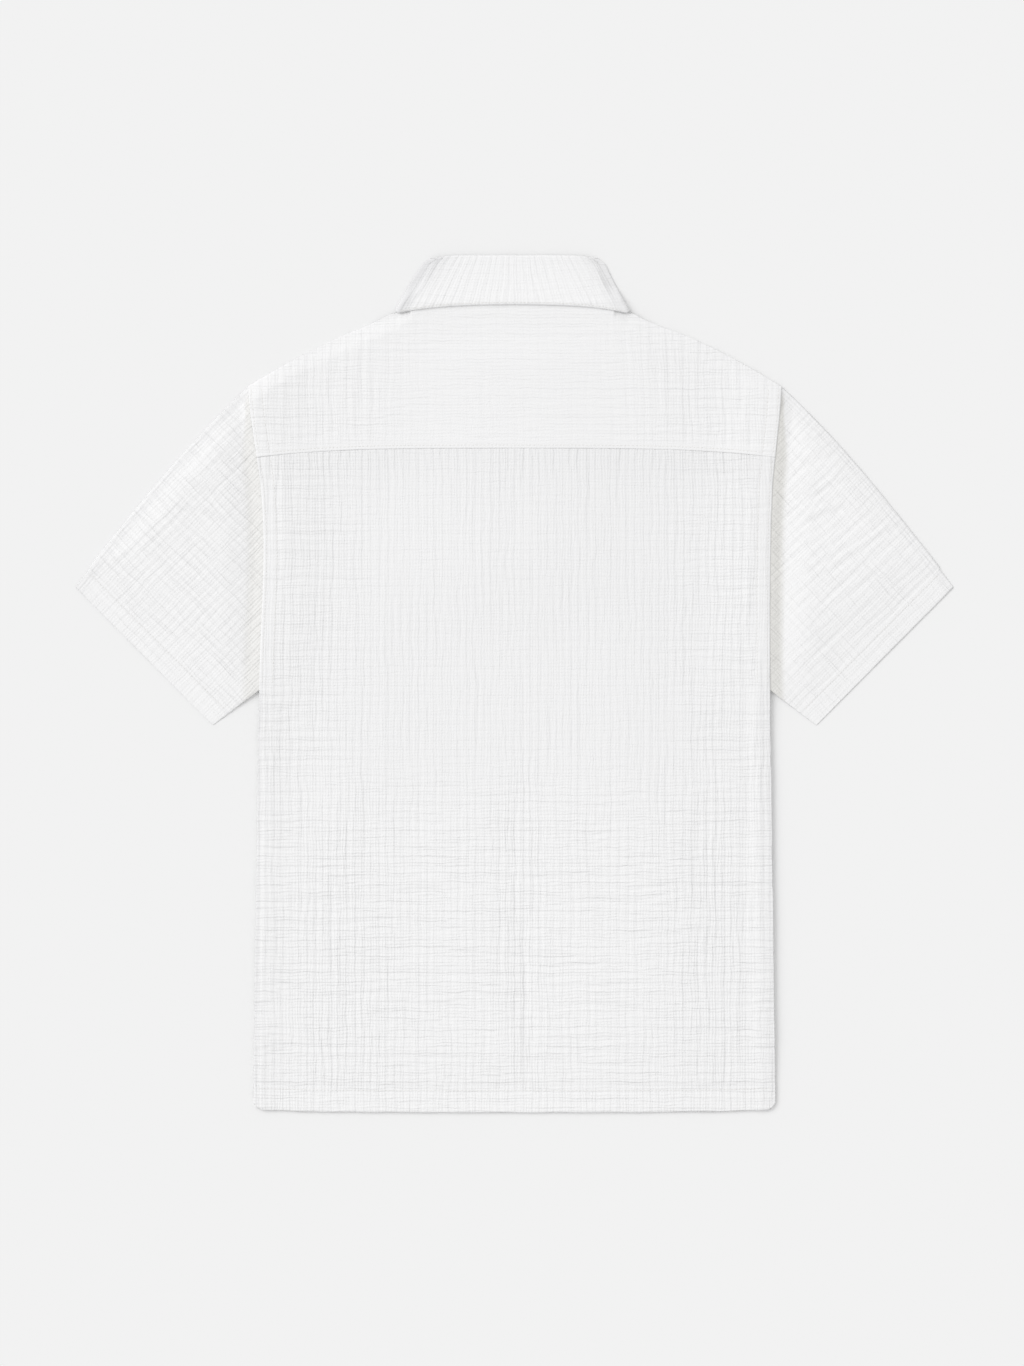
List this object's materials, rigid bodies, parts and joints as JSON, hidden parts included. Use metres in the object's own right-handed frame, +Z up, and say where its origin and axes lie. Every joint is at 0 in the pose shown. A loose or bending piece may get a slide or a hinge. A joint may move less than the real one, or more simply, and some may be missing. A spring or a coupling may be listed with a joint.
{
  "type": "polo shirt",
  "caption": "Short-sleeved collared shirt of crinkled double gauze with a straight back yoke, laid flat and face down.",
  "frame": {"origin": "middle of the shirt's outline as it lies, on the surface that it lies on", "axes": "+Z up, the way the back of the shirt faces; +Y from the hem to the collar; +X across, towards the wearer's right sleeve as seen from above the back"},
  "size_m": [0.792, 0.771, 0.0083],
  "materials": {
    "gauze": "soft crinkled cotton double gauze, matt",
    "button": "pale pearly button, smooth"
  },
  "bodies": {
    "root": {"back": "gauze", "yoke": "gauze", "front": "gauze", "sleeve_left": "gauze", "sleeve_right": "gauze", "collar_fall": "gauze", "collar_stand": "gauze", "placket_outer": "gauze", "placket_under": "gauze", "button_1": "button", "button_2": "button", "button_3": "button"}
  },
  "joints": []
}
